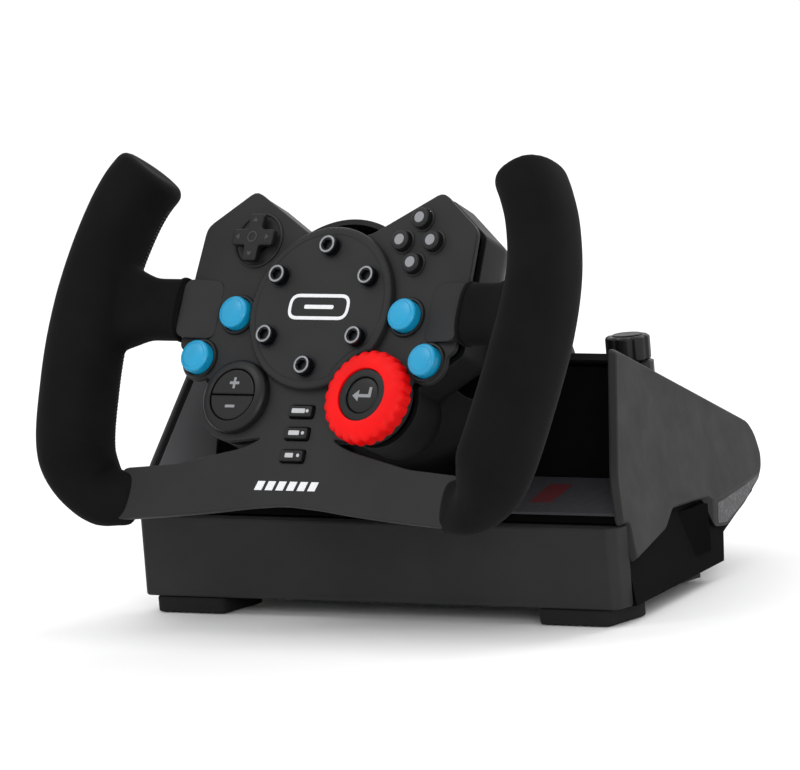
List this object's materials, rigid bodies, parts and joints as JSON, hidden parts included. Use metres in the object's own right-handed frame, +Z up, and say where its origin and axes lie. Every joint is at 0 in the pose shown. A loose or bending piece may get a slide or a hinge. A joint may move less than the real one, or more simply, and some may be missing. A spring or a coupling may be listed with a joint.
{
  "type": "racing wheel",
  "caption": "Desk-mount racing wheel: open-top rim with wrapped grips and a button plate on a low wedge-shaped drive base with screw clamps.",
  "frame": {"origin": "on the desk plane under the middle of the whole object", "axes": "+X to the driver's right, +Y away from the driver, +Z up"},
  "size_m": [0.2746, 0.2637, 0.2107],
  "materials": {
    "grip_suede": "matte napped wrap with a stitched seam",
    "face_plastic": "satin moulded face with fine texture",
    "pod_plastic": "matt moulded black",
    "apron_plastic": "flat dark grey moulding",
    "panel_plastic": "textured grey moulding",
    "bright_steel": "bright turned steel",
    "dark_metal": "dark anodised metal",
    "pinion_brass": "cut brass",
    "gear_nylon": "natural nylon",
    "button_blue": "glossy blue",
    "dial_red": "satin red",
    "button_black": "satin black",
    "board_green": "solder mask green",
    "foot_rubber": "soft black rubber"
  },
  "bodies": {
    "base": {"housing_bottom": "pod_plastic", "apron": "apron_plastic", "side_panel_left": "panel_plastic", "side_panel_right": "panel_plastic", "top_cover": "pod_plastic", "front_fascia": "pod_plastic", "column_housing": "pod_plastic", "rear_cover": "pod_plastic", "port_block": "button_black", "main_board": "board_green", "front_foot_left": "foot_rubber", "front_foot_right": "foot_rubber", "rear_foot": "foot_rubber", "gearbox_front_plate": "dark_metal", "gearbox_rear_plate": "dark_metal", "front_bearing": "bright_steel", "rear_bearing": "bright_steel", "motor_left": "dark_metal", "motor_right": "dark_metal"},
    "wheel": {"rim_plate": "dark_metal", "face_plate": "face_plastic", "grip_left": "grip_suede", "grip_right": "grip_suede", "pod_rear": "pod_plastic", "wheel_board": "board_green", "hub_disc": "face_plastic", "hub_bolt_1": "bright_steel", "hub_bolt_2": "bright_steel", "hub_bolt_3": "bright_steel", "hub_bolt_4": "bright_steel", "hub_bolt_5": "bright_steel", "hub_bolt_6": "bright_steel", "plus_minus_bezel": "button_black", "steering_shaft": "bright_steel", "main_gear": "gear_nylon"},
    "blue_button_left_upper": {"blue_button_left_upper": "button_blue"},
    "blue_button_left_lower": {"blue_button_left_lower": "button_blue"},
    "blue_button_right_upper": {"blue_button_right_upper": "button_blue"},
    "blue_button_right_lower": {"blue_button_right_lower": "button_blue"},
    "face_button_top": {"face_button_top": "button_black"},
    "face_button_right": {"face_button_right": "button_black"},
    "face_button_bottom": {"face_button_bottom": "button_black"},
    "face_button_left": {"face_button_left": "button_black"},
    "menu_button_1": {"menu_button_1": "button_black"},
    "menu_button_2": {"menu_button_2": "button_black"},
    "menu_button_3": {"menu_button_3": "button_black"},
    "pad_pivot": {"pad_pivot": "gear_nylon"},
    "pad_cap": {"pad_cap": "button_black"},
    "selector_dial": {"selector_dial": "dial_red"},
    "enter_button": {"enter_button": "button_black"},
    "plus_button": {"plus_button": "button_black"},
    "minus_button": {"minus_button": "button_black"},
    "paddle_left": {"paddle_left": "dark_metal"},
    "paddle_right": {"paddle_right": "dark_metal"},
    "motor_pinion_left": {"motor_pinion_left": "pinion_brass"},
    "motor_pinion_right": {"motor_pinion_right": "pinion_brass"},
    "clamp_knob_left": {"clamp_knob_left": "button_black"},
    "clamp_knob_right": {"clamp_knob_right": "button_black"},
    "clamp_carriage_left": {"clamp_carriage_left": "dark_metal"},
    "clamp_carriage_right": {"clamp_carriage_right": "dark_metal"}
  },
  "joints": [
    {"name": "steering", "type": "hinge", "parent": "base", "child": "wheel", "pos_m": [0, -0.07225, 0.14307], "axis": [0, -0.8829, 0.4695], "range_deg": [-450, 450]},
    {"name": "blue_press_left_upper", "type": "slide", "parent": "wheel", "child": "blue_button_left_upper", "axis": [0, -0.8829, 0.4695], "range_m": [-0.0018, 0], "stiffness_N_per_m": 500, "springref_m": 0.0005},
    {"name": "blue_press_left_lower", "type": "slide", "parent": "wheel", "child": "blue_button_left_lower", "axis": [0, -0.8829, 0.4695], "range_m": [-0.0018, 0], "stiffness_N_per_m": 500, "springref_m": 0.0005},
    {"name": "blue_press_right_upper", "type": "slide", "parent": "wheel", "child": "blue_button_right_upper", "axis": [0, -0.8829, 0.4695], "range_m": [-0.0018, 0], "stiffness_N_per_m": 500, "springref_m": 0.0005},
    {"name": "blue_press_right_lower", "type": "slide", "parent": "wheel", "child": "blue_button_right_lower", "axis": [0, -0.8829, 0.4695], "range_m": [-0.0018, 0], "stiffness_N_per_m": 500, "springref_m": 0.0005},
    {"name": "face_press_top", "type": "slide", "parent": "wheel", "child": "face_button_top", "axis": [0, -0.8829, 0.4695], "range_m": [-0.0015, 0], "stiffness_N_per_m": 300, "springref_m": 0.0005},
    {"name": "face_press_right", "type": "slide", "parent": "wheel", "child": "face_button_right", "axis": [0, -0.8829, 0.4695], "range_m": [-0.0015, 0], "stiffness_N_per_m": 300, "springref_m": 0.0005},
    {"name": "face_press_bottom", "type": "slide", "parent": "wheel", "child": "face_button_bottom", "axis": [0, -0.8829, 0.4695], "range_m": [-0.0015, 0], "stiffness_N_per_m": 300, "springref_m": 0.0005},
    {"name": "face_press_left", "type": "slide", "parent": "wheel", "child": "face_button_left", "axis": [0, -0.8829, 0.4695], "range_m": [-0.0015, 0], "stiffness_N_per_m": 300, "springref_m": 0.0005},
    {"name": "menu_press_1", "type": "slide", "parent": "wheel", "child": "menu_button_1", "axis": [0, -0.8829, 0.4695], "range_m": [-0.001, 0], "stiffness_N_per_m": 300, "springref_m": 0.0005},
    {"name": "menu_press_2", "type": "slide", "parent": "wheel", "child": "menu_button_2", "axis": [0, -0.8829, 0.4695], "range_m": [-0.001, 0], "stiffness_N_per_m": 300, "springref_m": 0.0005},
    {"name": "menu_press_3", "type": "slide", "parent": "wheel", "child": "menu_button_3", "axis": [0, -0.8829, 0.4695], "range_m": [-0.001, 0], "stiffness_N_per_m": 300, "springref_m": 0.0005},
    {"name": "plus_press", "type": "slide", "parent": "wheel", "child": "plus_button", "axis": [0, -0.8829, 0.4695], "range_m": [-0.0012, 0], "stiffness_N_per_m": 300, "springref_m": 0.0005},
    {"name": "minus_press", "type": "slide", "parent": "wheel", "child": "minus_button", "axis": [0, -0.8829, 0.4695], "range_m": [-0.0012, 0], "stiffness_N_per_m": 300, "springref_m": 0.0005},
    {"name": "enter_press", "type": "slide", "parent": "wheel", "child": "enter_button", "axis": [0, -0.8829, 0.4695], "range_m": [-0.0015, 0], "stiffness_N_per_m": 400, "springref_m": 0.0005},
    {"name": "pad_tilt", "type": "hinge", "parent": "wheel", "child": "pad_pivot", "pos_m": [-0.0438, -0.05902, 0.17115], "axis": [1, 0, 0], "range_deg": [-5, 5], "stiffness_Nm_per_rad": 0.08},
    {"name": "pad_rock", "type": "hinge", "parent": "pad_pivot", "child": "pad_cap", "pos_m": [-0.0438, -0.05902, 0.17115], "axis": [0, 0.4695, 0.8829], "range_deg": [-5, 5], "stiffness_Nm_per_rad": 0.08},
    {"name": "selector_spin", "type": "hinge", "parent": "wheel", "child": "selector_dial", "pos_m": [0.0365, -0.0922, 0.10554], "axis": [0, -0.8829, 0.4695], "continuous": true},
    {"name": "paddle_pull_left", "type": "hinge", "parent": "wheel", "child": "paddle_left", "pos_m": [-0.029, -0.03958, 0.1257], "axis": [0, 0.4695, 0.8829], "range_deg": [0, 6], "stiffness_Nm_per_rad": 0.4, "springref_deg": -4.58},
    {"name": "paddle_pull_right", "type": "hinge", "parent": "wheel", "child": "paddle_right", "pos_m": [0.029, -0.03958, 0.1257], "axis": [0, 0.4695, 0.8829], "range_deg": [-6, 0], "stiffness_Nm_per_rad": 0.4, "springref_deg": 4.58},
    {"name": "motor_spin_left", "type": "hinge", "parent": "base", "child": "motor_pinion_left", "pos_m": [-0.04337, 0.02232, 0.06746], "axis": [0, -0.8829, 0.4695], "range_deg": [-2476, 2476]},
    {"name": "motor_spin_right", "type": "hinge", "parent": "base", "child": "motor_pinion_right", "pos_m": [0.04337, 0.02232, 0.06746], "axis": [0, -0.8829, 0.4695], "range_deg": [-2476, 2476]},
    {"name": "clamp_screw_left", "type": "hinge", "parent": "base", "child": "clamp_knob_left", "pos_m": [-0.085, 0.0349, 0.1], "axis": [0, 0, 1], "range_deg": [0, 5045]},
    {"name": "clamp_slide_left", "type": "slide", "parent": "base", "child": "clamp_carriage_left", "axis": [0, 0, 1], "range_m": [-0.042, 0]},
    {"name": "clamp_screw_right", "type": "hinge", "parent": "base", "child": "clamp_knob_right", "pos_m": [0.085, 0.0349, 0.1], "axis": [0, 0, 1], "range_deg": [0, 5045]},
    {"name": "clamp_slide_right", "type": "slide", "parent": "base", "child": "clamp_carriage_right", "axis": [0, 0, 1], "range_m": [-0.042, 0]}
  ],
  "couplings": [
    {"joint": "motor_spin_left", "follows": "steering", "ratio": -5.5},
    {"joint": "motor_spin_right", "follows": "steering", "ratio": -5.5},
    {"joint": "clamp_screw_left", "follows": "clamp_slide_left", "rad_per_m": -2094.4},
    {"joint": "clamp_screw_right", "follows": "clamp_slide_right", "rad_per_m": -2094.4}
  ]
}
